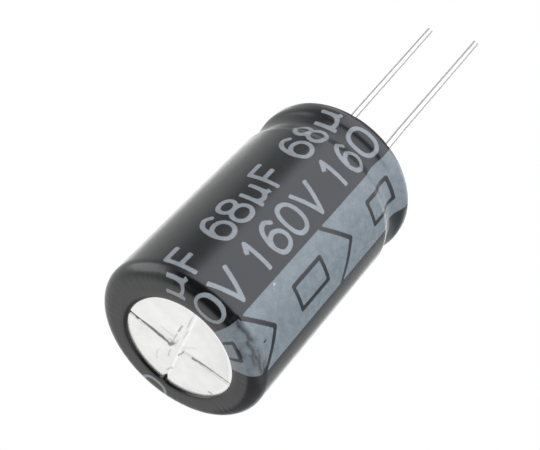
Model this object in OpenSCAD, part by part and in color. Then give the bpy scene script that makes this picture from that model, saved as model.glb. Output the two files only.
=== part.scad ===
// Radial electrolytic capacitor, 13 x 21 mm, with bare wire leads
//
// The row stands as it is fitted to a board. z = 0 is the seating plane under the
// curl, +Z points to the vented end, and the leads run down through x = +/- lead_pitch / 2.
// The negative lead and the printed polarity stripe are on the +X side.

/* [Can] */
// Outside diameter of the aluminium can
can_d = 12.8; // [12.2:0.1:16]
// Height of the can, from the lowest line of its curl to its closed end
can_h = 21.38; // [17:0.5:32]
// Thickness of the can's side wall
can_wall = 0.3; // [0.2:0.05:0.4]
// Thickness of the can's closed end
can_end = 0.35; // [0.3:0.05:0.6]
// Outside radius of the shoulder round the closed end
shoulder_r = 0.85; // [0.6:0.05:1.2]

/* [Bead and curl] */
// Depth of the bead that is rolled in to grip the seal
bead_depth = 1.0; // [0.6:0.05:1.2]
// Radius of the roller that presses the bead
bead_roll_r = 1.3; // [1.1:0.05:1.6]
// Outside radius of the lip above the bead
bead_lip_r = 1.2; // [0.8:0.05:1.4]
// Outside radius of the curl that closes the can over the seal
curl_r = 0.8; // [0.65:0.05:1.0]

/* [Vent] */
// Half length of each scored groove across the closed end
vent_reach = 5.1; // [3.5:0.1:5.3]
// Depth of the scored grooves
vent_depth = 0.13; // [0.06:0.01:0.2]
// Width of the scored grooves
vent_w = 0.4; // [0.2:0.05:0.6]
// Angles of the two grooves from the lead plane
vent_turns = [48.5, 141.5]; // [0:0.5:179]
// Distance of the grooves' crossing from the can's axis
vent_off = 0.35; // [0:0.05:0.6]
// Direction of the crossing from the can's axis
vent_off_turn = 255; // [0:1:359]

/* [Sleeve] */
// Thickness of the shrunk plastic sleeve
sleeve_wall = 0.2; // [0.1:0.01:0.3]
// How far the sleeve laps over the closed end, inside the shoulder
sleeve_lap = 1.1; // [0.5:0.05:1.6]
// How far the sleeve turns in under the curl, past the curl's lowest line
sleeve_fold = 0.45; // [0.2:0.05:0.6]
// Depth of the waist where the sleeve spans the bead
waist_depth = 0.4; // [0.1:0.05:0.5]
// Radius of the waist's floor
waist_floor_r = 2.3; // [1.5:0.1:2.5]
// Radius of the waist's two lips
waist_lip_r = 1.0; // [0.6:0.1:1.2]
// Height at which the waist starts, above the curl's middle
waist_rise = 0.35; // [0.1:0.05:0.5]

/* [Polarity stripe] */
// Angle that the stripe covers round the sleeve
stripe_angle = 41.5; // [30:0.5:60]
// Angle of the stripe's middle from the lead plane
stripe_turn = 3.4; // [-10:0.1:10]
// Thickness of the printed ink
ink = 0.04; // [0.02:0.005:0.08]
// Width of the pattern's lines
line_w = 0.32; // [0.2:0.01:0.5]
// Spacing of the pattern along the stripe
mark_pitch = 10.2; // [8:0.1:14]
// Length of a minus bar along the stripe
minus_len = 3.5; // [2:0.1:5]
// Width of a minus bar round the sleeve
minus_w = 2.1; // [1.2:0.1:3]
// Distance from the closed end to the first arrow's tip
arrow_drop = 3.1; // [2.5:0.1:5]
// Length of an arrow, from its tip to the stripe's edge
arrow_len = 2.1; // [1:0.1:3]

/* [Leads] */
// Diameter of the tinned wire
lead_d = 0.6; // [0.5:0.05:0.8]
// Distance between the leads
lead_pitch = 5.0; // [4.4:0.1:5.6]
// Reach of the positive lead below the seating plane
positive_len = 21.7; // [12:0.1:30]
// Reach of the negative lead below the seating plane
negative_len = 20.0; // [12:0.1:30]
// Straight length of each lead below the seating plane
lead_stub = 2.5; // [1:0.1:4]
// Length of the set below it, where each wire is bent aside
set_len = 3.5; // [2:0.1:5]
// Lean of the positive lead over its set
positive_set = 7.5; // [0.6:0.1:9]
// Lean of the negative lead over its set
negative_set = 1.7; // [0.6:0.1:9]
// Lean of the positive lead below its set
positive_lean = 1.3; // [0.6:0.1:4]
// Lean of the negative lead below its set
negative_lean = 0.7; // [0.6:0.1:4]
// Direction in which both leads lean, from the lead plane
lean_turn = 126; // [0:1:359]
// How much the wire swells at each kink
kink_swell = 0.02; // [0.02:0.01:0.05]
// Diameter to which the wire swells at the weld that joins it to its tab
weld_d = 0.7; // [0.65:0.01:0.75]

/* [Seal] */
// Height of the rubber seal
bung_h = 4.9; // [4.2:0.1:7]
// Recess of the seal's underside, above the curl's lowest line
bung_recess = 0.35; // [0.1:0.05:0.6]
// Thickness of rubber left round the wire at each hole's mouth
mouth_h = 0.5; // [0.3:0.05:0.8]

/* [Tabs] */
// Diameter of a tab's round shank, which passes through the seal
shank_d = 1.6; // [1.2:0.1:2]
// Thickness of a tab's flattened tongue
tab_t = 0.2; // [0.12:0.01:0.3]
// Width of a tab's flattened tongue
tab_w = 1.6; // [1:0.1:2]
// Spare room that the winding leaves over a tab, as a share of the tab's thickness
tab_slack = 0.5; // [0.45:0.05:1]
// Height over which the shank is pressed flat
press_h = 0.8; // [0.5:0.1:1.2]

/* [Winding] */
// Radius of the hollow that the winding spindle leaves
core_r = 1.12; // [0.8:0.01:1.4]
// Thickness of the etched anode foil
anode_t = 0.11; // [0.08:0.01:0.14]
// Thickness of the cathode foil
cathode_t = 0.04; // [0.03:0.01:0.08]
// Thickness of a separator paper
paper_t = 0.05; // [0.04:0.01:0.08]
// Thickness of the tape that holds the winding closed
tape_t = 0.06; // [0.04:0.01:0.12]
// Paper left bare past the foils at each end
paper_over = 0.6; // [0.3:0.1:1.2]
// Space between the seal and the winding
seal_room = 0.9; // [0.8:0.1:2]

/* [Clearances] */
// Gap between the can and what is shrunk on it or pressed in it
fit_gap = 0.02; // [0.01:0.005:0.04]
// Gap between the layers of the winding
layer_gap = 0.01; // [0.005:0.005:0.02]
// Least gap round and above the winding inside the can
winding_gap = 0.2; // [0.1:0.05:0.4]
// Gap round the wire at the mouth of its hole
wire_gap = 0.1; // [0.05:0.01:0.2]

/* [Hidden] */
$fn = 96;

can_r = can_d / 2;
can_foot = sleeve_wall + fit_gap;
can_top = can_foot + can_h;
can_bore_r = can_r - can_wall;

curl_x = can_r - curl_r;
curl_z = can_foot + curl_r;
// A hollow in the wall: its depth, radius of its floor, radii of its upper and lower lip, height of its foot
bead = [bead_depth, bead_roll_r, bead_lip_r, curl_r, curl_z];
waist = [waist_depth, waist_floor_r, waist_lip_r, waist_lip_r, curl_z + waist_rise];
// How far the cuts that run past the can's wall reach
outside = can_d;

sleeve_top = can_top + fit_gap + sleeve_wall;
window_r = can_r - shoulder_r - sleeve_lap;
foot_window_r = curl_x - sleeve_fold;

bung_foot = can_foot + bung_recess;
bung_top = bung_foot + bung_h;
plateau_r = curl_x - curl_r - fit_gap;
mouth_r = lead_d / 2 + wire_gap;
shank_r = shank_d / 2;
lead_x = lead_pitch / 2;
// Two lengths of wire end inside the ball of their kink, half way to where it is no wider than they are.
kink_half = sqrt(kink_swell * (2 * lead_d + kink_swell)) / 4;
// The shank's end is a cone, and the wire is welded to its small end.
weld_z = bung_foot + mouth_h;
cone_h = shank_r - lead_d / 2;

paper_foot = bung_top + seal_room;
paper_top = can_top - can_end - winding_gap;
foil_foot = paper_foot + paper_over;
foil_top = paper_top - paper_over;

// One wind lays down, from the inside out, the anode foil, a paper, the cathode foil and a paper.
layer_t = [anode_t, paper_t, cathode_t, paper_t, tape_t];
layer_at = [0,
            anode_t + layer_gap,
            anode_t + paper_t + 2 * layer_gap,
            anode_t + paper_t + cathode_t + 3 * layer_gap,
            anode_t + 2 * paper_t + cathode_t + 4 * layer_gap];
wind_pitch = layer_at[4];
half_pitch = wind_pitch / 2;
// Step that the winding takes over a tab. The room narrows towards one edge of the tongue.
tab_room = (1 + tab_slack) * (tab_t + 2 * layer_gap) / (1 - tab_w / lead_pitch);
// Half turn at which the tabs are wound in. It is odd, so that each tab lies on its own lead's side.
tab_half = 1 + 2 * round((lead_x + tab_t / 2 - core_r - tab_room) / wind_pitch - 1);
wound_r = can_bore_r - winding_gap - tape_t - layer_gap;
half_turns = floor((wound_r - core_r - 2 * tab_room - wind_pitch) / half_pitch);

// A hollow's lower lip, floor and upper lip are three tangent arcs with these centres.
function foot_at(hollow) = [can_r - hollow[3], hollow[4]];
function floor_at(hollow) =
    [can_r - hollow[0] + hollow[1], hollow[4] + tangent_rise(hollow[0], hollow[1] + hollow[3])];
function lip_at(hollow) =
    [can_r - hollow[2], floor_at(hollow)[1] + tangent_rise(hollow[0], hollow[1] + hollow[2])];
// Distance along the wall between two such centres, for arcs whose radii add up to sum_r
function tangent_rise(depth, sum_r) = sqrt(2 * sum_r * depth - depth * depth);

// How many of the two wider steps round the tabs a layer has made by half turn n
function wide_steps(layer, n) =
    let (first = (layer < 2) ? tab_half : tab_half - 1) min(max(n - first, 0), 2);

// Inside radius and centre of half turn n of a layer
function half_r(layer, n) =
    core_r + layer_at[layer] + n * half_pitch + tab_room * wide_steps(layer, n);
function half_x(layer, n) =
    half_pitch / 2 * (n % 2 == 0 ? -1 : 1)
    + (wide_steps(layer, n) == 1 ? tab_room * (layer < 2 ? -1 : 1) : 0);

// Half outline of the wall above the curl's middle, grown outwards by grow, up to the height top
module wall_outline(hollow, grow, top) {
    r = can_r + grow;
    corner_r = shoulder_r + grow;
    difference() {
        union() {
            translate([0, curl_z]) square([r, top - corner_r - curl_z]);
            translate([0, curl_z]) square([r - corner_r, top - curl_z]);
            translate([r - corner_r, top - corner_r]) circle(corner_r);
        }
        hollow_outline(hollow, grow);
    }
}

// What a hollow takes out of that outline
module hollow_outline(hollow, grow) {
    foot = foot_at(hollow);
    lip = lip_at(hollow);
    translate(floor_at(hollow)) circle(hollow[1] - grow);
    difference() {
        polygon([foot, floor_at(hollow), lip, [outside, lip[1]], [outside, foot[1]]]);
        translate(foot) circle(hollow[3] + grow);
        translate(lip) circle(hollow[2] + grow);
    }
}

// Lower half of the curl's round section, grown outwards by grow
module curl_outline(grow) {
    intersection() {
        translate([curl_x, curl_z]) circle(curl_r + grow);
        translate([0, curl_z - outside]) square(outside);
    }
}

// Outline of the sleeve's outer surface, grown outwards by grow
module sleeve_outline(grow) {
    skin = fit_gap + sleeve_wall + grow;
    wall_outline(waist, skin, can_top + skin);
    curl_outline(skin);
}

module can() {
    color([0.86, 0.87, 0.88])
    difference() {
        rotate_extrude() {
            difference() {
                wall_outline(bead, 0, can_top);
                wall_outline(bead, -can_wall, can_top - can_end);
            }
            difference() {
                curl_outline(0);
                curl_outline(-can_wall);
            }
        }
        translate(vent_off * [cos(vent_off_turn), sin(vent_off_turn)])
            for (turn = vent_turns) score(turn);
    }
}

// A V-shaped groove across the closed end
module score(turn) {
    half_w = vent_w / 2;
    translate([0, 0, can_top]) rotate([90, 0, turn + 90])
        linear_extrude(2 * vent_reach, center = true)
            polygon([[0, -vent_depth], [half_w, 0], [half_w, can_end], [-half_w, can_end], [-half_w, 0]]);
}

// The film laps over the closed end, spans the bead in a shallow waist and turns in under the curl.
module sleeve() {
    edge_r = sleeve_wall / 2;
    color([0.33, 0.34, 0.36])
    rotate_extrude() {
        difference() {
            sleeve_outline(0);
            wall_outline(waist, fit_gap, can_top + fit_gap);
            curl_outline(fit_gap);
            translate([0, curl_z]) square([window_r + edge_r, outside + can_h]);
            translate([0, curl_z - outside]) square([foot_window_r, outside + curl_r]);
        }
        translate([window_r + edge_r, can_top + fit_gap + edge_r]) circle(edge_r);
    }
}

// The ink follows the sleeve over its shoulder and into its waist, and its pattern is bare to half its depth.
module polarity_stripe() {
    color([0.60, 0.64, 0.67])
    rotate([0, 0, stripe_turn])
    difference() {
        rotate([0, 0, -stripe_angle / 2])
            rotate_extrude(angle = stripe_angle)
                difference() {
                    sleeve_outline(ink);
                    sleeve_outline(0);
                    translate([0, sleeve_wall - outside]) square(outside);
                    square([curl_x, curl_z]);
                    translate([0, curl_z]) square([window_r + sleeve_wall / 2, outside + can_h]);
                }
        for (z = [sleeve_top - arrow_drop : -mark_pitch : curl_z]) {
            arrow_line(z);
            minus_line(z - mark_pitch / 2);
        }
    }
}

// What a bare part of the pattern takes out of the ink, down to half its depth in the straight wall
module bare(z_points) {
    difference() {
        rotate([90, 0, 90]) linear_extrude(outside) polygon(z_points);
        cylinder(r = can_r + fit_gap + sleeve_wall + ink / 2, h = 2 * (can_top + outside), center = true);
    }
}

module arrow_line(tip_z) {
    half_w = can_r * sin(stripe_angle / 2) + ink;
    rise = arrow_len * half_w / (half_w - ink);
    bare([[0, tip_z], [half_w, tip_z + rise], [half_w, tip_z + rise + line_w],
          [0, tip_z + line_w], [-half_w, tip_z + rise + line_w], [-half_w, tip_z + rise]]);
}

module minus_line(mid_z) {
    difference() {
        bare(bar(mid_z, minus_w, minus_len));
        bare(bar(mid_z, minus_w - 2 * line_w, minus_len - 2 * line_w));
    }
}

function bar(z, w, l) = [[-w / 2, z - l / 2], [w / 2, z - l / 2], [w / 2, z + l / 2], [-w / 2, z + l / 2]];

module rubber_seal() {
    color([0.13, 0.13, 0.14])
    difference() {
        rotate_extrude() {
            intersection() {
                wall_outline(bead, -can_wall - fit_gap, can_top);
                square([outside, bung_top]);
            }
            curl_outline(-can_wall - fit_gap);
            translate([0, bung_foot]) square([plateau_r, curl_z - bung_foot + fit_gap]);
        }
        for (side = [-1, 1]) translate([side * lead_x, 0, 0]) seal_hole();
    }
}

// Narrow mouth round the wire, a cone, and the grip on the tab's shank
module seal_hole() {
    grip_r = shank_r + fit_gap;
    cylinder(r = mouth_r, h = weld_z);
    translate([0, 0, weld_z - fit_gap])
        cylinder(r1 = mouth_r, r2 = grip_r, h = grip_r - mouth_r);
    translate([0, 0, weld_z - fit_gap + grip_r - mouth_r])
        cylinder(r = grip_r, h = bung_h + seal_room);
}

// A lead from its weld down: the swollen weld, a straight stub, the set that takes it aside and the long run
module lead(side, reach, set_lean, lean) {
    elbow = set_len * [sin(set_lean) * cos(lean_turn), sin(set_lean) * sin(lean_turn), -cos(set_lean)];
    run_len = (reach - lead_stub + elbow[2]) / cos(lean);
    color([0.80, 0.81, 0.82])
    translate([side * lead_x, 0, 0]) {
        translate([0, 0, bung_foot]) cylinder(d1 = lead_d, d2 = weld_d, h = weld_z - bung_foot);
        translate([0, 0, kink_half - lead_stub])
            cylinder(d = lead_d, h = bung_foot + lead_stub - kink_half);
        translate([0, 0, -lead_stub]) {
            kinked(set_lean, set_len - kink_half);
            translate(elbow) kinked(lean, run_len);
        }
    }
}

// A kink's ball and the wire that leans away below it, down to the distance end
module kinked(lean, end) {
    rotate([0, -lean, lean_turn]) {
        sphere(d = lead_d + kink_swell);
        translate([0, 0, -end]) cylinder(d = lead_d, h = end - kink_half);
    }
}

module positive_lead() lead(-1, positive_len, positive_set, positive_lean);
module negative_lead() lead(1, negative_len, negative_set, negative_lean);

// A tab's shank, pressed flat into a tongue that is wound in against half turn n of a foil
module tab(side, layer, n) {
    tongue_r = half_r(layer, n) - layer_gap;
    tongue_x = tongue_r - tab_t / 2;
    color([0.78, 0.79, 0.80]) {
        translate([side * lead_x, 0, 0]) {
            translate([0, 0, weld_z]) cylinder(d1 = lead_d, d2 = shank_d, h = cone_h);
            translate([0, 0, weld_z + cone_h]) cylinder(d = shank_d, h = bung_top - weld_z - cone_h);
        }
        intersection() {
            translate([side * lead_x, 0, bung_top]) cylinder(d = shank_d, h = press_h);
            translate([0, tab_w / 2, 0]) rotate([90, 0, 0]) linear_extrude(tab_w)
                polygon([[side * (lead_x - shank_r), bung_top], [side * (lead_x + shank_r), bung_top],
                         [side * (tongue_x + tab_t / 2), bung_top + press_h],
                         [side * (tongue_x - tab_t / 2), bung_top + press_h]]);
        }
        tongue(tongue_r, half_x(layer, n), n % 2 == 0 ? 1 : -1);
    }
}

// Curved strip of outside radius r about a centre that lies off the can's axis
module tongue(r, centre_x, half) {
    half_angle = asin(tab_w / 2 / r);
    mid_angle = half * (90 + asin(centre_x / r));
    rotate([0, 0, 90]) translate([centre_x, 0, bung_top + press_h / 2])
        rotate([0, 0, mid_angle - half_angle])
            rotate_extrude(angle = 2 * half_angle)
                translate([r - tab_t, 0]) square([tab_t, foil_top - bung_top - press_h]);
}

module positive_tab() tab(-1, 0, tab_half + 1);
module negative_tab() tab(1, 2, tab_half);

// Half turns first to last of a layer, as one strip
module wound(layer, foot, top, first, last) {
    rotate([0, 0, 90]) translate([0, 0, foot]) linear_extrude(top - foot)
        for (n = [first : last])
            translate([half_x(layer, n), 0])
                half_ring(half_r(layer, n), layer_t[layer], n % 2 == 0 ? 0 : -1);
}

module half_ring(r, thickness, lower) {
    intersection() {
        difference() {
            circle(r + thickness);
            circle(r);
        }
        translate([-can_d / 2, lower * can_d]) square([can_d, can_d]);
    }
}

module anode_foil() color([0.62, 0.62, 0.60]) wound(0, foil_foot, foil_top, 0, half_turns - 1);
module inner_paper() color([0.88, 0.84, 0.74]) wound(1, paper_foot, paper_top, 0, half_turns - 1);
module cathode_foil() color([0.74, 0.74, 0.73]) wound(2, foil_foot, foil_top, 0, half_turns - 1);
module outer_paper() color([0.90, 0.87, 0.78]) wound(3, paper_foot, paper_top, 0, half_turns - 1);
module winding_tape() color([0.80, 0.70, 0.45]) wound(4, foil_foot, foil_top, half_turns - 2, half_turns - 1);

can();
sleeve();
polarity_stripe();
rubber_seal();
positive_lead();
negative_lead();
positive_tab();
negative_tab();
anode_foil();
inner_paper();
cathode_foil();
outer_paper();
winding_tape();
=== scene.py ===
# Radial electrolytic capacitor: finish, print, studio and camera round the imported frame.
# Lengths in the dictionaries are millimetres, and angles are degrees from the lead plane.
# Shaders measure in metres, so texture scales are per metre and bump heights are metres.
import bpy
import math
import numpy as np
from mathutils import Matrix, Vector


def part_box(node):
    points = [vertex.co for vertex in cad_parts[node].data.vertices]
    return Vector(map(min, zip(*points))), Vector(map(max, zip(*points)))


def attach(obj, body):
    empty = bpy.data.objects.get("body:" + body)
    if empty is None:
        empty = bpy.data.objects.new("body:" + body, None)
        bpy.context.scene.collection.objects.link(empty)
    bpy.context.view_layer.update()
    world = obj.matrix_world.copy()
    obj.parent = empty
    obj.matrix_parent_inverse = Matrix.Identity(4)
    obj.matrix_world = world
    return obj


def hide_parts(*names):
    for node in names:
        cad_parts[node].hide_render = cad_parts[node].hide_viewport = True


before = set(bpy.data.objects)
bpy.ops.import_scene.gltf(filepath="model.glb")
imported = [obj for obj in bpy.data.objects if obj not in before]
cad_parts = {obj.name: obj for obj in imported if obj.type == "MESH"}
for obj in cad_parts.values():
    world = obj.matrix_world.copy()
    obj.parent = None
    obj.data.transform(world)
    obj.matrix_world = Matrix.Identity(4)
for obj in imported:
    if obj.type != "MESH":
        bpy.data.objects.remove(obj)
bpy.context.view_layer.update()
scene = bpy.context.scene
mm = 0.001
farAway = 9.0    # a distance in millimetres that no ink or fold reaches
print("frame loaded:", ", ".join(sorted(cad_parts)))


# Small helpers for shader nodes
def newMaterial(name):
    material = bpy.data.materials.new(name)
    material.use_nodes = True
    material.node_tree.nodes.clear()
    return material, material.node_tree


def addNode(tree, kind, values=None, **settings):
    node = tree.nodes.new("ShaderNode" + kind)
    for key, value in settings.items():
        setattr(node, key, value)
    for key, value in (values or {}).items():
        node.inputs[key].default_value = value
    return node


def mathNode(tree, operation, first, second=None, clamp=False):
    node = addNode(tree, "Math", operation=operation, use_clamp=clamp)
    for slot, value in enumerate((first, second)):
        if value is None:
            continue
        if isinstance(value, (int, float)):
            node.inputs[slot].default_value = value
        else:
            tree.links.new(value, node.inputs[slot])
    return node.outputs[0]


def vectorMath(tree, operation, first, second, output=0):
    node = addNode(tree, "VectorMath", operation=operation)
    for slot, value in enumerate((first, second)):
        if isinstance(value, tuple):
            node.inputs[slot].default_value = value
        else:
            tree.links.new(value, node.inputs[slot])
    return node.outputs[output]


def splitVector(tree, vector):
    node = addNode(tree, "SeparateXYZ")
    tree.links.new(vector, node.inputs[0])
    return node.outputs


def mapRange(tree, value, fromMin, fromMax, toMin, toMax, smooth=False):
    node = addNode(tree, "MapRange", {1: fromMin, 2: fromMax, 3: toMin, 4: toMax})
    node.interpolation_type = "SMOOTHSTEP" if smooth else "LINEAR"
    tree.links.new(value, node.inputs[0])
    return node.outputs[0]


def windowMask(tree, value, edges):
    # 0 outside the first and last edge, 1 between the middle two, with soft steps
    rise = mapRange(tree, value, edges[0], edges[1], 0, 1, smooth=True)
    fall = mapRange(tree, value, edges[2], edges[3], 1, 0, smooth=True)
    return mathNode(tree, "MULTIPLY", rise, fall)


def mixColors(tree, factor, first, second):
    node = addNode(tree, "Mix", data_type="RGBA")
    for slot, value in ((0, factor), (6, first), (7, second)):
        if isinstance(value, tuple):
            node.inputs[slot].default_value = (*value, 1)
        else:
            tree.links.new(value, node.inputs[slot])
    return node.outputs[2]


def toned(color, factor):
    return tuple(part * factor for part in color)


def noise(tree, coordinates, scale, detail, roughness):
    node = addNode(tree, "TexNoise", {"Scale": scale, "Detail": detail, "Roughness": roughness})
    tree.links.new(coordinates, node.inputs["Vector"])
    return node.outputs["Fac"]


def startGroup(name, inputs, outputs):
    group = bpy.data.node_groups.new(name, "ShaderNodeTree")
    for label, kind, default in inputs:
        socket = group.interface.new_socket(label, in_out="INPUT", socket_type="NodeSocket" + kind)
        if default is not None:
            socket.default_value = default
    for label, kind in outputs:
        group.interface.new_socket(label, in_out="OUTPUT", socket_type="NodeSocket" + kind)
    return group, group.nodes.new("NodeGroupInput"), group.nodes.new("NodeGroupOutput")


def placeGroup(tree, group, values=None, **links):
    node = tree.nodes.new("ShaderNodeGroup")
    node.node_tree = group
    for key, value in (values or {}).items():
        node.inputs[key].default_value = value
    for key, value in links.items():
        tree.links.new(value, node.inputs[key])
    return node


def finishSurface(tree, shader, height, links):
    # Links the shader's own sockets, bumps it by the height and puts it on the surface
    bump = addNode(tree, "Bump", {"Strength": 1.0, "Distance": 1.0})
    tree.links.new(height, bump.inputs["Height"])
    tree.links.new(bump.outputs["Normal"], shader.inputs["Normal"])
    for socket, value in links.items():
        tree.links.new(value, shader.inputs[socket])
    tree.links.new(shader.outputs[0], addNode(tree, "OutputMaterial").inputs["Surface"])
    return bump


# Effects that several places share. Each noise has a scale, a detail and a roughness
effectLook = {
    "inkWander": (5200, 2, 0.5), "peel": (700, 2, 0.4), "grain": (5500, 3, 0.6), "cloud": (1500, 4, 0.65),
    "drawnLines": (9000, 3, 0.6), "dents": (900, 2, 0.45), "patches": (1800, 4, 0.6),
    # Soft edge of a scratch, and how far wear and mottling darken a colour and change the roughness
    "scratchEdge": (-0.04, 0.05),
    "wearRange": (0.35, 0.7), "wearTone": 0.93, "wearRoughness": (0.8, 1.3),
    "mottleRange": (0.35, 0.65), "mottleTone": 0.85,
}


def makeInkEdge():
    # Turns a signed distance in millimetres into an ink mask with a slightly ragged edge
    group, inputs, outputs = startGroup(
        "inkEdge",
        [("Distance", "Float", 1.0), ("Place", "Vector", None), ("Ragged", "Float", 0.03),
         ("Soft", "Float", 0.03)],
        [("Mask", "Float")])
    wander = noise(group, inputs.outputs["Place"], *effectLook["inkWander"])
    shift = mathNode(group, "MULTIPLY", mathNode(group, "SUBTRACT", wander, 0.5), inputs.outputs["Ragged"])
    distance = mathNode(group, "ADD", inputs.outputs["Distance"], shift)
    softened = mathNode(group, "DIVIDE", distance, inputs.outputs["Soft"])
    group.links.new(mapRange(group, softened, -1, 1, 1, 0, smooth=True), outputs.inputs["Mask"])
    return group


def makeFilmSkin():
    # Orange peel and fine grain of shrunk film, rubber or paper, as a height in metres
    group, inputs, outputs = startGroup(
        "filmSkin",
        [("Place", "Vector", None), ("Peel", "Float", 1.0), ("Grain", "Float", 1.0)],
        [("Height", "Float"), ("Cloud", "Float")])
    place = inputs.outputs["Place"]
    peel = mathNode(group, "MULTIPLY", noise(group, place, *effectLook["peel"]), inputs.outputs["Peel"])
    grain = mathNode(group, "MULTIPLY", noise(group, place, *effectLook["grain"]), inputs.outputs["Grain"])
    group.links.new(mathNode(group, "ADD", peel, grain), outputs.inputs["Height"])
    group.links.new(noise(group, place, *effectLook["cloud"]), outputs.inputs["Cloud"])
    return group


def makeMetalWear():
    # Fine drawn lines, soft dents and a patchy dullness for metal
    group, inputs, outputs = startGroup(
        "metalWear",
        [("Place", "Vector", None), ("Stretch", "Vector", (1.0, 1.0, 1.0)), ("Lines", "Float", 1.0),
         ("Dents", "Float", 1.0)],
        [("Height", "Float"), ("Dullness", "Float")])
    place = inputs.outputs["Place"]
    stretched = vectorMath(group, "MULTIPLY", place, inputs.outputs["Stretch"])
    drawn = noise(group, stretched, *effectLook["drawnLines"])
    lines = mathNode(group, "MULTIPLY", drawn, inputs.outputs["Lines"])
    dents = mathNode(group, "MULTIPLY", noise(group, place, *effectLook["dents"]), inputs.outputs["Dents"])
    group.links.new(mathNode(group, "ADD", lines, dents), outputs.inputs["Height"])
    group.links.new(noise(group, place, *effectLook["patches"]), outputs.inputs["Dullness"])
    return group


def makeScratch():
    # 1 within a half width of the line between two points, all in millimetres
    group, inputs, outputs = startGroup(
        "scratch",
        [("Place", "Vector", None), ("Start", "Vector", None), ("End", "Vector", None),
         ("Half", "Float", 0.1)],
        [("Mask", "Float")])
    start = inputs.outputs["Start"]
    run = vectorMath(group, "SUBTRACT", inputs.outputs["End"], start)
    offset = vectorMath(group, "SUBTRACT", inputs.outputs["Place"], start)
    share = mathNode(group, "DIVIDE", vectorMath(group, "DOT_PRODUCT", offset, run, "Value"),
                     vectorMath(group, "DOT_PRODUCT", run, run, "Value"), clamp=True)
    nearest = addNode(group, "VectorMath", operation="SCALE")
    group.links.new(run, nearest.inputs[0])
    group.links.new(share, nearest.inputs["Scale"])
    distance = vectorMath(group, "DISTANCE", offset, nearest.outputs[0], "Value")
    past = mathNode(group, "SUBTRACT", distance, inputs.outputs["Half"])
    mask = mapRange(group, past, *effectLook["scratchEdge"], 1, 0, smooth=True)
    group.links.new(mask, outputs.inputs["Mask"])
    return group


inkEdge = makeInkEdge()
filmSkin = makeFilmSkin()
metalWear = makeMetalWear()
scratch = makeScratch()
print("shader groups built")


# Sleeve: its section repeats the frame's sizes, and its print lies on the length along the section
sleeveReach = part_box("sleeve")[1]
sleeveLook = {
    "radius": round(sleeveReach[0] / mm, 2), "ringHeight": round(sleeveReach[2] / mm, 2),
    "shoulder": 1.07, "wall": 0.2, "windowRadius": 4.38,
    "lipCentre": (5.4, 4.52), "lipRadius": 1.22,
    "waistCentre": (8.3, 2.945), "waistRadius": 2.08, "footHeight": 1.37,
    "curlCentre": (5.6, 1.02), "curlRadius": 1.02, "foldReach": 0.45,
    "edgeSteps": 14, "arcSteps": 40, "curlSteps": 50,
    "columns": 336, "rowStep": 0.125, "innerRows": 36,
    # A height on the straight wall, where the length along the section equals the height
    "wallHeight": 12.0, "wallSlack": 0.01,
    # The film reaches further over the vent on one side: how far, towards which angle and over what spread
    "rimLap": 0.40, "rimLapMiddle": 120, "rimLapSpread": 42,
    # The rest of the uneven rim: its wander, its shift to one side and its sag, and how far back each fades
    "rimWander": 0.04, "rimWaves": (2, 3, 5, 9), "rimSeed": 2,
    "rimShift": 0.19, "rimShiftTurn": 60, "rimRamp": 1.3, "rimDrop": 0.09, "rimTaper": 0.7,
    # A nib of film lies in the groove at the rim: its reach, angle, spread and root
    "nibReach": 0.62, "nibTurn": 230.5, "nibSpread": 3.6, "nibRamp": 0.5,
    # Faint pleats round the shoulder, and deeper creases near the stripe
    "pleatDepth": 0.016, "pleatWaves": (23, 31, 38, 47), "pleatSeed": 4,
    "pleatRise": 0.35, "pleatSpread": 0.85,
    "creaseDepth": 0.035, "creaseWaves": (41, 57, 66, 90), "creaseSeed": 9,
    "creaseShift": -6, "creaseSpread": 15,
    "foldDepth": 0.05, "foldSlope": 0.12,
}

filmLook = {
    "filmColor": (0.008, 0.0085, 0.0095), "fleckColor": (0.6, 0.61, 0.63),
    # Ink is cloudy: its tones beside its colour, and the stretch of the cloud between them
    "stripeColor": (0.205, 0.246, 0.281), "stripeTones": (0.88, 1.14), "stripeCloud": (0.35, 0.65),
    "letterColor": (0.312, 0.346, 0.385), "letterTone": 0.8, "letterCloud": (0.3, 0.6),
    # Painted shade: folds darken the ink, and so do the ridges beside them, within their reach
    "foldShade": 0.5, "ridgeReach": 0.4, "ridgeShade": 0.3,
    "roughness": 0.23, "stripeRoughness": 0.27, "roughnessSwing": 0.03, "roughnessCloud": (0.3, 0.7),
    "peel": 0.00001, "grain": 0.0000012, "refraction": 1.5,
    # The waist is duller: heights where this starts, is full, fades and ends, and by how much
    "waistBand": (1.9, 2.6, 4.1, 4.7), "waistDullness": 0.13,
}

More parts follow.
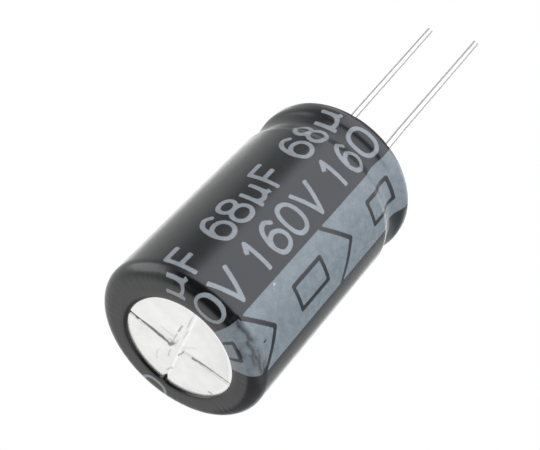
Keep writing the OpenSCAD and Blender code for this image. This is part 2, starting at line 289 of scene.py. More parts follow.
printLook = {
    "period": 10.15, "repeats": 3, "strokeWidth": 0.36, "lineWidth": 0.34,
    "stripeMiddle": 3.7, "stripeAngle": 41.0,
    "arrowTip": 18.88, "arrowBack": 2.2, "minusMiddle": 14.13, "minusLength": 3.8, "minusAngle": 19.2,
    "ragged": 0.05, "soft": 0.035, "foldSpread": 3,
    "letterStart": 0.6, "letterEnd": 23.3, "ringThinning": 0.035, "thinningReach": 0.7,
    # Each row: baseline angle, letter height, and its signs with their middles along the sleeve and widths
    "rows": [
        {"base": 28.2, "height": 2.80,
         "signs": [("1", 16.62, 1.5), ("6", 14.30, 2.0), ("0", 12.08, 2.0), ("V", 9.75, 2.3)]},
        {"base": 57.9, "height": 2.82,
         "signs": [("6", 16.38, 2.0), ("8", 14.22, 2.0), ("u", 11.92, 1.9), ("F", 9.80, 1.75)]},
        {"base": 215.0, "height": 2.60,
         "signs": [("1", 16.52, 1.5), ("6", 14.20, 2.0), ("0", 11.98, 2.0), ("V", 9.65, 2.3)]},
        {"base": 243.0, "height": 2.82,
         "signs": [("6", 20.45, 2.0), ("8", 18.29, 2.0), ("u", 15.99, 1.9), ("F", 13.87, 1.75)]},
    ],
    # Flecks: place along the sleeve, angle, length and width, and whether it is light
    "flecks": [(17.1, 22.2, 0.12, 0.10, True), (20.3, 2.2, 0.2, 0.07, False), (17.35, 20.8, 0.08, 0.06, True),
               (6.9, 18.5, 0.07, 0.05, True), (14.9, -8.0, 0.06, 0.05, False)],
    # Folds that the shrunk film keeps on the shoulder: places along the sleeve and angles, and half width
    "folds": [([(21.3, 26.0), (21.42, 20.0), (21.25, 14.5), (21.38, 9.0)], 0.10),
              ([(21.3, 13.0), (21.12, 8.0)], 0.06),
              ([(21.62, 9.5), (21.45, 3.5), (21.5, -1.0), (21.3, -6.0), (21.38, -12.0), (21.2, -16.0)], 0.09),
              ([(21.12, 1.5), (21.18, -4.5)], 0.05), ([(21.75, 0.0), (21.62, -8.5)], 0.06),
              ([(22.35, 5.5), (22.3, -1.5)], 0.05), ([(21.0, -9.0), (21.05, -14.5)], 0.05)],
}


def arcPoints(centre, radius, fromAngle, toAngle, count):
    angles = np.radians(np.linspace(fromAngle, toAngle, count))
    return [(centre[0] + radius * math.cos(a), centre[1] + radius * math.sin(a)) for a in angles]


def sleeveSection():
    # Outer line of the sleeve from the vent's window down to the fold under the curl, evenly spaced
    look = sleeveLook
    edge, top, steps = look["wall"] / 2, look["ringHeight"], look["arcSteps"]
    points = arcPoints((look["windowRadius"] + edge, top - edge), edge, 270, 90, look["edgeSteps"])
    corner = (look["radius"] - look["shoulder"], top - look["shoulder"])
    points += arcPoints(corner, look["shoulder"], 90, 0, steps)
    lip, waist, curl = look["lipCentre"], look["waistCentre"], look["curlCentre"]
    lipTurn = math.degrees(math.atan2(lip[1] - waist[1], waist[0] - lip[0]))
    points += arcPoints(lip, look["lipRadius"], 0, -lipTurn, steps)
    points += arcPoints(waist, look["waistRadius"], 180 - lipTurn, 180 + lipTurn, steps)[1:]
    points += arcPoints((lip[0], look["footHeight"]), look["lipRadius"], lipTurn, 0, steps)[1:]
    foldTurn = -90 - math.degrees(math.asin(look["foldReach"] / look["curlRadius"]))
    points += arcPoints(curl, look["curlRadius"], 0, foldTurn, look["curlSteps"])
    points = np.array(points)
    run = np.r_[0, np.cumsum(np.hypot(*np.diff(points, axis=0).T))]
    places = np.linspace(0, run[-1], int(run[-1] / look["rowStep"]) + 1)
    section = np.c_[np.interp(places, run, points[:, 0]), np.interp(places, run, points[:, 1])]
    # The print's own measure along the section equals the height on the straight wall
    offWall = section[:, 0] < look["radius"] - look["wallSlack"]
    wallRow = int(np.argmin(np.where(offWall, np.inf, np.abs(section[:, 1] - look["wallHeight"]))))
    along = section[wallRow, 1] - (places - places[wallRow])
    return section, along


def outwardNormals(section):
    slope = np.gradient(section, axis=0)
    outward = np.c_[slope[:, 1], -slope[:, 0]]
    outward /= np.linalg.norm(outward, axis=1)[:, None]
    return outward if outward[len(section) // 2, 0] > 0 else -outward


def smoothNoise(angles, seed, waves):
    # A periodic wavy line made of a few sines, between about -1 and 1
    random = np.random.default_rng(seed)
    total = np.zeros_like(angles)
    for wave in waves:
        total += random.uniform(0.4, 1) * np.sin(wave * angles + random.uniform(0, 2 * math.pi))
    return total / len(waves)


def splinePoints(points, steps=8):
    # Catmull-Rom curve through given points
    p = np.array([points[0], *points, points[-1]], float)
    curve = []
    for i in range(1, len(p) - 2):
        for t in np.linspace(0, 1, steps, endpoint=False):
            curve.append(0.5 * (2 * p[i] + (p[i + 1] - p[i - 1]) * t
                                + (2 * p[i - 1] - 5 * p[i] + 4 * p[i + 1] - p[i + 2]) * t ** 2
                                + (3 * p[i] - p[i - 1] - 3 * p[i + 1] + p[i + 2]) * t ** 3))
    return [*curve, p[-2]]


def ovalPoints(middle, halfWidth, halfHeight, power=2.3, count=40):
    turns = np.linspace(0, 2 * math.pi, count + 1)
    return [(middle[0] + halfWidth * math.copysign(abs(c) ** (2 / power), c),
             middle[1] + halfHeight * math.copysign(abs(s) ** (2 / power), s))
            for c, s in zip(np.cos(turns), np.sin(turns))]


def signStrokes(sign):
    # Centre lines of each sign in a box of 1 by 1
    strokes = {
        "0": [ovalPoints((0.5, 0.5), 0.5, 0.5)],
        "1": [[(0.12, 0.74), (0.62, 1.0), (0.62, 0.0)]],
        "6": [splinePoints([(0.93, 0.86), (0.62, 1.0), (0.2, 0.84), (0.0, 0.42), (0.17, 0.08), (0.52, 0.0),
                            (0.88, 0.1), (1.0, 0.32), (0.86, 0.54), (0.52, 0.63), (0.18, 0.54),
                            (0.02, 0.34)])],
        "8": [ovalPoints((0.5, 0.27), 0.5, 0.27, 2.1), ovalPoints((0.5, 0.77), 0.42, 0.23, 2.1)],
        "V": [[(0.0, 1.0), (0.5, 0.0), (1.0, 1.0)]],
        "F": [[(0.0, 0.0), (0.0, 1.0), (1.0, 1.0)], [(0.0, 0.53), (0.92, 0.53)]],
        "u": [[(0.0, 0.74), (0.0, -0.04)],
              splinePoints([(0.0, 0.3), (0.1, 0.15), (0.4, 0.1), (0.68, 0.2), (0.78, 0.4)]),
              [(0.78, 0.74), (0.78, 0.18), (0.98, 0.12)]],
    }
    return strokes[sign]


def strokeDistance(x, y, stroke, half):
    # Signed distance from every point to the edge of a stroke, with round bends and square ends
    best = np.full(x.shape, farAway)
    closed = math.dist(stroke[0], stroke[-1]) < 1e-6
    for i, ((ax, ay), (bx, by)) in enumerate(zip(stroke, stroke[1:])):
        length = math.hypot(bx - ax, by - ay)
        ux, uy = (bx - ax) / length, (by - ay) / length
        run = (x - ax) * ux + (y - ay) * uy
        side = np.abs((y - ay) * ux - (x - ax) * uy)
        past = np.maximum(np.maximum(-run, run - length), 0)
        square = (run < 0) & (i == 0) | (run > length) & (i == len(stroke) - 2)
        square &= not closed
        best = np.minimum(best, np.where(square, np.maximum(side - half, past), np.hypot(side, past) - half))
    return best


def wrapped(angle, middle):
    # Angle from middle in degrees, between -180 and 180
    return (angle - middle + 180) % 360 - 180


def sideways(angle, middle):
    # Distance round the wall from the middle angle, in millimetres
    return wrapped(angle, middle) * math.radians(sleeveLook["radius"])


def letterDistance(angle, along):
    # Signed distance in millimetres to the edge of the nearest letter
    best = np.full(angle.shape, farAway)
    half, margin = printLook["strokeWidth"] / 2, 1
    for row in printLook["rows"]:
        y = sideways(angle, row["base"])
        near = (y > -margin) & (y < row["height"] + margin)
        for repeat in range(-1, printLook["repeats"] - 1):
            for sign, middle, width in row["signs"]:
                x = middle - repeat * printLook["period"] - along + width / 2
                pick = near & (x > -margin) & (x < width + margin)
                if not pick.any():
                    continue
                for stroke in signStrokes(sign):
                    placed = [(half + px * (width - 2 * half), half + py * (row["height"] - 2 * half))
                              for px, py in stroke]
                    best[pick] = np.minimum(best[pick], strokeDistance(x[pick], y[pick], placed, half))
    # Strokes are thinner on the shoulder, and none reaches the rim or the foot
    reach = printLook["thinningReach"]
    onShoulder = np.clip((along - sleeveLook["ringHeight"] + reach) / reach, 0, 1)
    outside = (along > printLook["letterEnd"]) | (along < printLook["letterStart"])
    return np.where(outside, farAway, best + printLook["ringThinning"] * onShoulder)


def foldDistance(angle, along):
    # Signed distance to the folds that cross the stripe on the shoulder
    best = np.full(angle.shape, farAway)
    for line, half in printLook["folds"]:
        placed = [(place, sideways(turn, 0)) for place, turn in line]
        best = np.minimum(best, strokeDistance(along, sideways(angle, 0), placed, half))
    return best


def stripeDistance(angle, along):
    # Signed distance to the stripe's ink: negative inside the stripe, away from its bare lines
    perDegree = math.radians(sleeveLook["radius"])
    side = sideways(angle, printLook["stripeMiddle"])
    halfStripe = printLook["stripeAngle"] / 2 * perDegree
    half = printLook["lineWidth"] / 2
    minusSide = printLook["minusAngle"] / 2 * perDegree - half
    minusEnd = printLook["minusLength"] / 2 - half
    lines = np.full(angle.shape, farAway)
    for repeat in range(-1, printLook["repeats"] - 1):
        tip = printLook["arrowTip"] - repeat * printLook["period"]
        back = tip + printLook["arrowBack"]
        arrow = [(back, halfStripe), (tip, 0), (back, -halfStripe)]
        middle = printLook["minusMiddle"] - repeat * printLook["period"]
        minusBox = [(middle + end * minusEnd, edge * minusSide)
                    for end, edge in ((-1, -1), (1, -1), (1, 1), (-1, 1), (-1, -1))]
        for line in (arrow, minusBox):
            lines = np.minimum(lines, strokeDistance(along, side, line, half))
    return np.maximum(np.abs(side) - halfStripe, -lines)


def fleckDistance(angle, along, light):
    best = np.full(angle.shape, farAway)
    for place, turn, length, width, isLight in printLook["flecks"]:
        if isLight == light:
            reach = np.hypot((along - place) / length, sideways(angle, turn) / width)
            best = np.minimum(best, (reach - 1) * min(length, width))
    return best


def nearRim(along, reach, power):
    # 1 at the rim of the window, falling to 0 over the reach
    return np.clip((along - along[0, 0] + reach) / reach, 0, 1) ** power


def rimInset(turns, angle, along):
    # How far the film draws back from the window's circle, negative where it reaches further in
    look = sleeveLook
    lap = look["rimLap"] * np.exp(-(wrapped(angle, look["rimLapMiddle"]) / look["rimLapSpread"]) ** 2)
    shift = look["rimShift"] * np.cos(np.radians(angle - look["rimShiftTurn"]))
    wander = smoothNoise(turns, look["rimSeed"], look["rimWaves"])[None, :] * look["rimWander"]
    uneven = (wander - lap - shift) * nearRim(along, look["rimRamp"], 2)
    nib = look["nibReach"] * np.exp(-(wrapped(angle, look["nibTurn"]) / look["nibSpread"]) ** 2)
    return uneven - nib * nearRim(along, look["nibRamp"], 2)


def shrinkPush(turns, angle, along, folds):
    # Pleats round the shoulder, creases near the stripe and the folds, all pushed inwards
    look = sleeveLook
    shoulderLine = look["ringHeight"] + look["pleatRise"]
    nearShoulder = np.exp(-((along - shoulderLine) / look["pleatSpread"]) ** 2)
    pleatWave = smoothNoise(turns, look["pleatSeed"], look["pleatWaves"])[None, :]
    pleats = np.abs(pleatWave * nearShoulder * look["pleatDepth"])
    creaseWave = np.abs(smoothNoise(turns, look["creaseSeed"], look["creaseWaves"]))[None, :]
    creaseMiddle = printLook["stripeMiddle"] + look["creaseShift"]
    onStripe = np.exp(-(wrapped(angle, creaseMiddle) / look["creaseSpread"]) ** 2)
    creases = creaseWave * nearShoulder * onStripe * look["creaseDepth"]
    return -pleats - creases - look["foldDepth"] * np.clip(1 - folds / look["foldSlope"], 0, 1)


def ringMesh(name, turns, radius, height):
    # Closed skin through rings of points: each row is a ring, and the last row joins the first
    rows, columns = radius.shape
    points = np.stack([radius * np.cos(turns) * mm, radius * np.sin(turns) * mm, height * mm], axis=-1)
    row, column = np.meshgrid(np.arange(rows), np.arange(columns), indexing="ij")
    nextRow, nextColumn = (row + 1) % rows, (column + 1) % columns
    faces = np.stack([row * columns + column, nextRow * columns + column,
                      nextRow * columns + nextColumn, row * columns + nextColumn], axis=-1)
    mesh = bpy.data.meshes.new(name)
    mesh.from_pydata(points.reshape(-1, 3).tolist(), [], faces.reshape(-1, 4).tolist())
    mesh.polygons.foreach_set("use_smooth", np.ones(len(mesh.polygons), bool))
    return mesh


def addPrint(mesh, angle, along, folds):
    # Signed distances to the print on the outer face, and far away on the inner one
    fields = {
        "letterEdge": letterDistance(angle, along), "stripeEdge": stripeDistance(angle, along),
        "foldEdge": folds,
        "lightFleck": fleckDistance(angle, along, True), "darkFleck": fleckDistance(angle, along, False),
    }
    hidden = np.full(len(mesh.vertices) - angle.size, farAway)
    for name, field in fields.items():
        layer = mesh.attributes.new(name, "FLOAT", "POINT")
        layer.data.foreach_set("value", np.r_[field.ravel(), hidden].astype(np.float32))
    mesh.update()


def buildSleeve():
    look = sleeveLook
    section, along = sleeveSection()
    outward = outwardNormals(section)
    turns = np.linspace(0, 2 * math.pi, look["columns"], endpoint=False)
    angle, along = np.meshgrid(np.degrees(turns), along)
    folds = foldDistance(angle, along)
    push = shrinkPush(turns, angle, along, folds)
    radius = section[:, 0][:, None] + push * outward[:, 0][:, None] + rimInset(turns, angle, along)
    height = section[:, 1][:, None] + push * outward[:, 1][:, None]
    height = height - look["rimDrop"] * nearRim(along, look["rimTaper"], 1.5)
    # Inner face, a wall's thickness inside, with fewer rows
    inner = np.linspace(len(section) - 1, 0, look["innerRows"]).astype(int)[1:-1]
    innerRadius = radius[inner] - look["wall"] * outward[inner, 0][:, None]
    innerHeight = height[inner] - look["wall"] * outward[inner, 1][:, None]
    mesh = ringMesh("sleeveFilm", turns, np.r_[radius, innerRadius], np.r_[height, innerHeight])
    addPrint(mesh, angle, along, folds)
    sleeve = bpy.data.objects.new("printedSleeve", mesh)
    scene.collection.objects.link(sleeve)
    return sleeve


def printMasks(tree, place):
    # Masks from the distances on the film, softer for the folds
    masks = {}
    for name in ("letterEdge", "stripeEdge", "foldEdge", "lightFleck", "darkFleck"):
        field = addNode(tree, "Attribute", attribute_name=name).outputs["Fac"]
        spread = printLook["foldSpread"] if name == "foldEdge" else 1
        values = {"Ragged": printLook["ragged"] * spread, "Soft": printLook["soft"] * spread}
        masks[name] = placeGroup(tree, inkEdge, values, Distance=field, Place=place).outputs["Mask"]
    return masks


def foldAndRidgeShade(tree, masks, look):
    # Painted shade: how much the folds and the ridges beside them darken the ink
    field = addNode(tree, "Attribute", attribute_name="foldEdge").outputs["Fac"]
    paintedRidgeShade = mapRange(tree, field, 0, look["ridgeReach"], look["ridgeShade"], 0, smooth=True)
    fold = mathNode(tree, "MULTIPLY", masks["foldEdge"], look["foldShade"])
    return mathNode(tree, "ADD", fold, paintedRidgeShade, clamp=True)


def makeFilm(look):
    material, tree = newMaterial("printedFilm")
    place = addNode(tree, "TexCoord").outputs["Object"]
    skin = placeGroup(tree, filmSkin, {"Peel": look["peel"], "Grain": look["grain"]}, Place=place)
    cloud, masks = skin.outputs["Cloud"], printMasks(tree, place)
    stripeLow, stripeHigh = (toned(look["stripeColor"], tone) for tone in look["stripeTones"])
    stripe = mixColors(tree, mapRange(tree, cloud, *look["stripeCloud"], 0, 1), stripeLow, stripeHigh)
    letterLow = toned(look["letterColor"], look["letterTone"])
    letterMix = mapRange(tree, cloud, *look["letterCloud"], 0, 1)
    letter = mixColors(tree, letterMix, letterLow, look["letterColor"])
    color = mixColors(tree, masks["stripeEdge"], look["filmColor"], stripe)
    # Painted shade along the shoulder's folds and ridges, towards the film's black
    color = mixColors(tree, foldAndRidgeShade(tree, masks, look), color, look["filmColor"])
    color = mixColors(tree, masks["letterEdge"], color, letter)
    color = mixColors(tree, masks["darkFleck"], color, look["filmColor"])
    color = mixColors(tree, masks["lightFleck"], color, look["fleckColor"])
    roughness = mapRange(tree, masks["stripeEdge"], 0, 1, look["roughness"], look["stripeRoughness"])
    swing = mapRange(tree, cloud, *look["roughnessCloud"], -look["roughnessSwing"], look["roughnessSwing"])
    roughness = mathNode(tree, "ADD", roughness, swing)
    atWaist = windowMask(tree, splitVector(tree, place)["Z"], [height * mm for height in look["waistBand"]])
    roughness = mathNode(tree, "ADD", roughness, mathNode(tree, "MULTIPLY", atWaist, look["waistDullness"]))
    film = addNode(tree, "BsdfPrincipled", {"IOR": look["refraction"]})
    finishSurface(tree, film, skin.outputs["Height"], {"Base Color": color, "Roughness": roughness})
    return material


sleeve = buildSleeve()
sleeve.data.materials.append(makeFilm(filmLook))
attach(sleeve, "root")
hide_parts("sleeve", "polarity_stripe")
print("sleeve built with", len(sleeve.data.polygons), "faces")


# Metals of the frame's wires, tabs and foils. The wires get a painted grey shade at their outline, as in the
# photo
metalLook = {
    "tinnedWire": {
        "nodes": ("positive_lead", "negative_lead"), "color": (0.86, 0.86, 0.855), "roughness": 0.14,
        "stretch": (1, 1, 0.03), "lines": 0.0000003, "dents": 0.000001,
        "outline": (0.54, 0.54, 0.53), "outlineFrom": 0.31, "outlineTo": 0.42},
    "pressedTab": {
        "nodes": ("positive_tab", "negative_tab"), "color": (0.8, 0.81, 0.82), "roughness": 0.3,
        "stretch": (1, 1, 0.05), "lines": 0.000001, "dents": 0.000003},
    "etchedFoil": {
        "nodes": ("anode_foil",), "color": (0.5, 0.5, 0.49), "roughness": 0.6,
        "stretch": (1, 1, 1), "lines": 0.000002, "dents": 0.000002},
    "plainFoil": {
        "nodes": ("cathode_foil",), "color": (0.72, 0.72, 0.71), "roughness": 0.4,
        "stretch": (1, 1, 1), "lines": 0.000001, "dents": 0.000002},
}


def makeMetal(name, look):
    material, tree = newMaterial(name)
    place = addNode(tree, "TexCoord").outputs["Object"]
    values = {"Stretch": look["stretch"], "Lines": look["lines"], "Dents": look["dents"]}
    wear = placeGroup(tree, metalWear, values, Place=place)
    metal = addNode(tree, "BsdfPrincipled", {"Metallic": 1.0})
    dull = mapRange(tree, wear.outputs["Dullness"], *effectLook["wearRange"], 0, 1)
    color = mixColors(tree, dull, look["color"], toned(look["color"], effectLook["wearTone"]))
    if "outline" in look:
        # Painted shade: towards the outline, where the wire faces away from the view, its colour turns to a
        # grey non-metal
        facing = addNode(tree, "LayerWeight", {"Blend": 0.5}).outputs["Facing"]
        edge = mapRange(tree, facing, look["outlineFrom"], look["outlineTo"], 0, 1, smooth=True)
        color = mixColors(tree, edge, color, look["outline"])
        tree.links.new(mapRange(tree, edge, 0, 1, 1, 0), metal.inputs["Metallic"])
    smooth, rough = toned(effectLook["wearRoughness"], look["roughness"])
    roughness = mapRange(tree, dull, 0, 1, smooth, rough)
    finishSurface(tree, metal, wear.outputs["Height"], {"Base Color": color, "Roughness": roughness})
    return material


# Rubber, paper and tape of the frame's seal and winding
softLook = {
    "sealRubber": {
        "nodes": ("rubber_seal",), "color": (0.022, 0.022, 0.023), "roughness": 0.62,
        "peel": 0.000006, "grain": 0.000004},
    "separatorPaper": {
        "nodes": ("inner_paper", "outer_paper"), "color": (0.80, 0.75, 0.63), "roughness": 0.75,
        "peel": 0.000004, "grain": 0.000005},
    "windingTape": {
        "nodes": ("winding_tape",), "color": (0.62, 0.47, 0.22), "roughness": 0.35,
        "peel": 0.000004, "grain": 0.000001},
}


def makeSoft(name, look):
    material, tree = newMaterial(name)
    place = addNode(tree, "TexCoord").outputs["Object"]
    skin = placeGroup(tree, filmSkin, {"Peel": look["peel"], "Grain": look["grain"]}, Place=place)
    mottle = mapRange(tree, skin.outputs["Cloud"], *effectLook["mottleRange"], 0, 1)
    color = mixColors(tree, mottle, toned(look["color"], effectLook["mottleTone"]), look["color"])
    body = addNode(tree, "BsdfPrincipled", {"Roughness": look["roughness"]})
    finishSurface(tree, body, skin.outputs["Height"], {"Base Color": color})
    return material


# Closed end of the can: clean pressed plates, a groove with a painted highlight, a groove with a line of
# painted shade, small marks, and a painted highlight along the rim
endLook = {
    # The grooves lie within this depth below the can's top, and their flat shading fades in above it
    "grooveDepth": 0.3, "fadeHeight": 0.1, "metallic": 0.7, "roughness": 0.3,
    "paintedHighlight": (1.0, 1.0, 1.0), "shadeAndMarkColor": (0.05, 0.055, 0.06),
    "low": (0.84, 0.845, 0.825), "high": (0.95, 0.945, 0.94),
    "tone": (420, 4, 0.6), "toneRange": (0.36, 0.64),
    "stretch": (1, 1, 0.02), "lines": 0.0000002, "dents": 0.0000025,
    # The grooves' crossing, the angle of each, their half width with its soft edge, and how flat they shade
    "crossing": (-0.0906, -0.3381), "brightTurn": 48.5, "darkTurn": 141.5,
    "half": 0.21, "grooveEdge": (-0.03, 0.04), "flatten": 0.85,
    # A painted highlight along the rim shows between these distances from its middle
    "rimHighlightMiddle": (-0.1, -0.15), "rimHighlightFrom": 4.07, "rimHighlightTo": 4.2,
    # Marks wander sideways by this much, in waves of this many to the millimetre
    "ragged": 0.14, "raggedScale": 3.2, "raggedDetail": 3.0,
    # Painted shade along the second groove, where its dark flank falls, and scratches: start, end, half width
    # and how dark
    "shadeAndMarks": [((-3.6, 2.68), (-2.9, 1.94), 0.15, 0.95), ((-2.9, 2.0), (-2.2, 1.28), 0.09, 0.8),
              ((-2.2, 1.28), (-0.75, -0.08), 0.075, 0.8), ((-0.9, -0.12), (-0.55, 0.0), 0.13, 0.65),
              ((-0.35, -0.05), (0.12, 0.4), 0.045, 0.3), ((0.70, -1.12), (0.95, -1.28), 0.06, 0.7),
              ((0.95, -1.28), (1.95, -1.95), 0.05, 0.7), ((1.95, -1.95), (3.3, -2.97), 0.065, 0.75),
              ((0.5, 1.2), (1.12, 1.78), 0.05, 0.6), ((-0.35, 0.32), (0.3, 1.0), 0.05, 0.35),
              ((0.65, 0.6), (1.45, 1.35), 0.035, 0.3), ((1.5, 1.65), (2.35, 2.65), 0.035, 0.35),
              ((0.1, -0.66), (-0.55, -1.05), 0.05, 0.55), ((-1.0, -0.55), (-1.5, -1.2), 0.04, 0.35),
              ((-1.6, -2.3), (-2.3, -2.62), 0.07, 0.3), ((-2.7, -1.62), (-2.4, -0.9), 0.05, 0.22),
              ((-2.4, -0.9), (-1.95, -0.62), 0.04, 0.16), ((-0.62, 0.42), (-0.2, 0.16), 0.05, 0.45),
              ((0.2, -0.25), (1.5, -0.1), 0.1, 0.12), ((-0.9, 1.4), (-0.1, 0.7), 0.12, 0.12),
              ((0.95, -4.05), (1.2, -4.15), 0.06, 0.6)],
}


def grooveBand(tree, flat, turn, look):
    # 1 inside a straight band through the grooves' crossing
    normal = (-math.sin(math.radians(turn)), math.cos(math.radians(turn)), 0)
    middle = look["crossing"][0] * normal[0] + look["crossing"][1] * normal[1]
    offset = mathNode(tree, "SUBTRACT", vectorMath(tree, "DOT_PRODUCT", flat, normal, "Value"), middle)
    inner, outer = (look["half"] + shift for shift in look["grooveEdge"])
    return mapRange(tree, mathNode(tree, "ABSOLUTE", offset), inner, outer, 1, 0, smooth=True)


def endShadeAndMarks(tree, flat, look):
    # The darkest of the painted groove shade and the scratches at every place, with edges that wander a
    # little
    jitter = addNode(tree, "TexNoise", {"Scale": look["raggedScale"], "Detail": look["raggedDetail"]})
    tree.links.new(flat, jitter.inputs["Vector"])
    centred = vectorMath(tree, "SUBTRACT", jitter.outputs["Color"], (0.5, 0.5, 0.5))
    wander = vectorMath(tree, "MULTIPLY", centred, (look["ragged"], look["ragged"], 0))
    place = vectorMath(tree, "ADD", flat, wander)
    total = None
    for start, end, half, strength in look["shadeAndMarks"]:
        values = {"Start": (*start, 0), "End": (*end, 0), "Half": half}
        mark = placeGroup(tree, scratch, values, Place=place).outputs["Mask"]
        mark = mathNode(tree, "MULTIPLY", mark, strength)
        total = mark if total is None else mathNode(tree, "MAXIMUM", total, mark)
    return total


def grooveNormal(tree, place, grooves, look):
    # Groove faces are burnished, so on the closed end they shade almost as the plates do
    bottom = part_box("can")[1][2] - look["grooveDepth"] * mm
    onEnd = mapRange(tree, splitVector(tree, place)["Z"], bottom, bottom + look["fadeHeight"] * mm, 0, 1)
    flattened = mathNode(tree, "MULTIPLY", mathNode(tree, "MULTIPLY", grooves, onEnd), look["flatten"])
    normal = addNode(tree, "Mix", data_type="VECTOR")
    tree.links.new(flattened, normal.inputs[0])
    tree.links.new(addNode(tree, "NewGeometry").outputs["Normal"], normal.inputs[4])
    normal.inputs[5].default_value = (0, 0, 1)
    return normal.outputs[1]


def makeCan(look):
    material, tree = newMaterial("brightAluminium")
    place = addNode(tree, "TexCoord").outputs["Object"]
    values = {"Stretch": look["stretch"], "Lines": look["lines"], "Dents": look["dents"]}
    wear = placeGroup(tree, metalWear, values, Place=place)
    flat = vectorMath(tree, "MULTIPLY", place, (1 / mm, 1 / mm, 0))    # millimetres on the closed end
    tone = mapRange(tree, noise(tree, place, *look["tone"]), *look["toneRange"], 0, 1)
    color = mixColors(tree, tone, look["low"], look["high"])
    # Painted highlight: a white line along the rim of the closed end
    fromMiddle = vectorMath(tree, "DISTANCE", flat, (*look["rimHighlightMiddle"], 0), "Value")
    inRimHighlight = mapRange(tree, fromMiddle, look["rimHighlightFrom"], look["rimHighlightTo"], 0, 1)
    color = mixColors(tree, inRimHighlight, color, look["paintedHighlight"])
    # Painted highlight: the first groove's band is painted white
    highlitGroove = grooveBand(tree, flat, look["brightTurn"], look)
    darkGroove = grooveBand(tree, flat, look["darkTurn"], look)
    color = mixColors(tree, highlitGroove, color, look["paintedHighlight"])
    # Painted shade along the second groove's dark flank, together with real scratches
    color = mixColors(tree, endShadeAndMarks(tree, flat, look), color, look["shadeAndMarkColor"])
    metal = addNode(tree, "BsdfPrincipled", {"Metallic": look["metallic"], "Roughness": look["roughness"]})
    bump = finishSurface(tree, metal, wear.outputs["Height"], {"Base Color": color})
    grooves = mathNode(tree, "MAXIMUM", highlitGroove, darkGroove)
    tree.links.new(grooveNormal(tree, place, grooves, look), bump.inputs["Normal"])
    return material


def dress(material, names):
    for name in names:
        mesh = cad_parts[name].data
        mesh.materials.clear()
        mesh.materials.append(material)


dress(makeCan(endLook), ("can",))
for name, look in metalLook.items():
    dress(makeMetal(name, look), look["nodes"])
for name, look in softLook.items():
    dress(makeSoft(name, look), look["nodes"])
print("frame nodes dressed")


# Camera where the photograph was taken
cameraLook = {
    "place": (60.75, 49.94, 72.47), "view": (-0.6055, -0.4850, -0.6310), "up": (-0.0659, 0.8206, -0.5677),
    "lens": 91.58, "sensor": 36.0, "clip": (0.001, 10),
}


def buildCamera():
    data = bpy.data.cameras.new("photoCamera")
    data.lens, data.sensor_width, data.sensor_fit = cameraLook["lens"], cameraLook["sensor"], "HORIZONTAL"
    data.clip_start, data.clip_end = cameraLook["clip"]    # metres
    camera = bpy.data.objects.new("photoCamera", data)
    back = -Vector(cameraLook["view"]).normalized()
    right = Vector(cameraLook["up"]).cross(back).normalized()
    turn = Matrix((right, back.cross(right), back)).transposed().to_4x4()
    camera.matrix_world = Matrix.Translation(Vector(cameraLook["place"]) * mm) @ turn
    scene.collection.objects.link(camera)
    scene.camera = camera


# Studio: a pale floor just under the lead tips, a white surround, soft lamps, and a light tent for gloss
studioLook = {
    "floorSize": 3000, "floorGap": 0.05, "floorColor": (0.85, 0.85, 0.85), "surround": 1.0, "ambient": 0.55,
    # Each lamp: place, aim, width and height, and power in watts
    "lamps": {
        "keyLamp": {"place": (110, 130, 60), "aim": (0, 0, 8), "size": (140, 140), "power": 0.10},
        "sideLamp": {"place": (150, -40, 20), "aim": (0, 0, 8), "size": (140, 140), "power": 0.07},
    },
}

# The tent is plain apart from its panels, and a later panel covers those before it. Each has
# azimuths and elevations where it begins, is full, starts to fade and ends, and then its light
tentLook = {
    "plain": (0.96, 0.965, 0.975),
    "panels": {
        "endPanel": ((178, 194, 246, 262), (14, 26, 52, 64), (1.15, 1.15, 1.14)),
        "frontGap": ((-108, -88, 10, 30), (-76, -66, -12, 0), (0.5, 0.55, 0.6)),
        "frontPanel": ((-48, 16, 76, 88), (-76, -66, -3, 6), (2.45, 2.5, 2.72)),
        "leftGap": ((84, 92, 108, 138), (-50, -45, -2, 6), (0.5, 0.52, 0.56)),
        "cameraShade": ((-20, 4, 96, 108), (0, 7, 62, 72), (0.0, 0.0, 0.0)),
        "window": ((106, 120, 150, 164), (-12, 2, 36, 46), (3.2, 3.2, 3.2)),
        "rightShade": ((224, 236, 278, 292), (-14, -6, 52, 64), (0.42, 0.42, 0.44)),
        "lowShade": ((242, 254, 272, 284), (-46, -41, -32, -24), (0.62, 0.64, 0.64)),
        "leftEdge": ((180, 192, 237, 252), (-50, -44, -32, -24), (1.8, 1.8, 1.8)),
        "underPanel": ((-150, -125, 118, 140), (-86, -80, -52, -46), (2.1, 2.1, 2.1)),
        "underLeft": ((166, 176, 236, 250), (-53, -48, -43, -40), (2.6, 2.6, 2.6)),
        "underShade": ((160, 172, 238, 248), (-70, -62, -53, -49), (0.5, 0.5, 0.5)),
        "underRight": ((-142, -126, -100, -90), (-66, -58, -47, -42), (3.4, 3.4, 3.3)),
        "nadirShade": ((-182, -181, 181, 182), (-92, -91, -74, -62), (0.3, 0.3, 0.3)),
        "overhead": ((-182, -181, 181, 182), (54, 74, 91, 92), (0.02, 0.02, 0.02)),
    },
}


def lightPathWhite(tree):
    # 1 for the camera, for gloss and for glass, 0 for soft light that bounces on
    path = addNode(tree, "LightPath")
    seen = mathNode(tree, "MAXIMUM", path.outputs["Is Camera Ray"], path.outputs["Is Glossy Ray"])
    return mathNode(tree, "MAXIMUM", seen, path.outputs["Is Transmission Ray"])


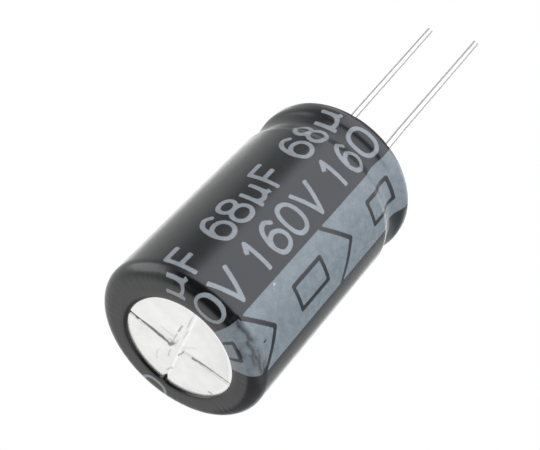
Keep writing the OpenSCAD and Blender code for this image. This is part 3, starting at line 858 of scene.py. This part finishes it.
def tentLight(tree):
    # Light of the tent in the direction that a reflection takes
    parts = splitVector(tree, addNode(tree, "TexCoord").outputs["Generated"])
    azimuth = mathNode(tree, "DEGREES", mathNode(tree, "ARCTAN2", parts["Y"], parts["X"]))
    lift = mathNode(tree, "DEGREES", mathNode(tree, "ARCSINE", parts["Z"]))
    light = tentLook["plain"]
    for turns, lifts, panelLight in tentLook["panels"].values():
        middle = (turns[0] + turns[3]) / 2
        wrap = addNode(tree, "Math", {1: 180, 2: -180}, operation="WRAP")
        tree.links.new(mathNode(tree, "SUBTRACT", azimuth, middle), wrap.inputs[0])
        across = windowMask(tree, wrap.outputs[0], [turn - middle for turn in turns])
        mask = mathNode(tree, "MULTIPLY", across, windowMask(tree, lift, lifts))
        light = mixColors(tree, mask, light, panelLight)
    return light


def aimed(place, aim):
    direction = (Vector(place) - Vector(aim)).normalized()
    return Matrix.Translation(Vector(place) * mm) @ direction.to_track_quat("Z", "Y").to_matrix().to_4x4()


def buildFloor(look):
    material, tree = newMaterial("paleFloor")
    paint = addNode(tree, "BsdfDiffuse", {"Color": (*look["floorColor"], 1)})
    glow = addNode(tree, "Emission", {"Strength": look["surround"]})
    mix = addNode(tree, "MixShader")
    tree.links.new(lightPathWhite(tree), mix.inputs[0])
    tree.links.new(paint.outputs[0], mix.inputs[1])
    tree.links.new(glow.outputs[0], mix.inputs[2])
    tree.links.new(mix.outputs[0], addNode(tree, "OutputMaterial").inputs["Surface"])
    half, height = look["floorSize"] / 2 * mm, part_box("positive_lead")[0][2] - look["floorGap"] * mm
    corners = [(-half, -half, height), (half, -half, height), (half, half, height), (-half, half, height)]
    mesh = bpy.data.meshes.new("floor")
    mesh.from_pydata(corners, [], [(0, 1, 2, 3)])
    mesh.materials.append(material)
    floor = bpy.data.objects.new("floor", mesh)
    floor.visible_glossy = False    # gloss sees the tent instead
    scene.collection.objects.link(floor)


def buildWorld(look):
    world = bpy.data.worlds.new("studio")
    world.use_nodes = True
    scene.world = world
    tree = world.node_tree
    tree.nodes.clear()
    glossy = addNode(tree, "LightPath").outputs["Is Glossy Ray"]
    seen = mixColors(tree, lightPathWhite(tree), (look["ambient"],) * 3, (look["surround"],) * 3)
    background = addNode(tree, "Background")
    tree.links.new(mixColors(tree, glossy, seen, tentLight(tree)), background.inputs["Color"])
    tree.links.new(background.outputs[0], addNode(tree, "OutputWorld").inputs["Surface"])


def buildLamp(name, lamp):
    data = bpy.data.lights.new(name, "AREA")
    data.shape, data.size, data.size_y = "RECTANGLE", lamp["size"][0] * mm, lamp["size"][1] * mm
    data.energy = lamp["power"]
    light = bpy.data.objects.new(name, data)
    light.matrix_world = aimed(lamp["place"], lamp["aim"])
    light.visible_glossy = light.visible_camera = False
    scene.collection.objects.link(light)


buildCamera()
buildWorld(studioLook)
buildFloor(studioLook)
for name, lamp in studioLook["lamps"].items():
    buildLamp(name, lamp)
scene.view_settings.view_transform = "Standard"
print("camera and studio set")
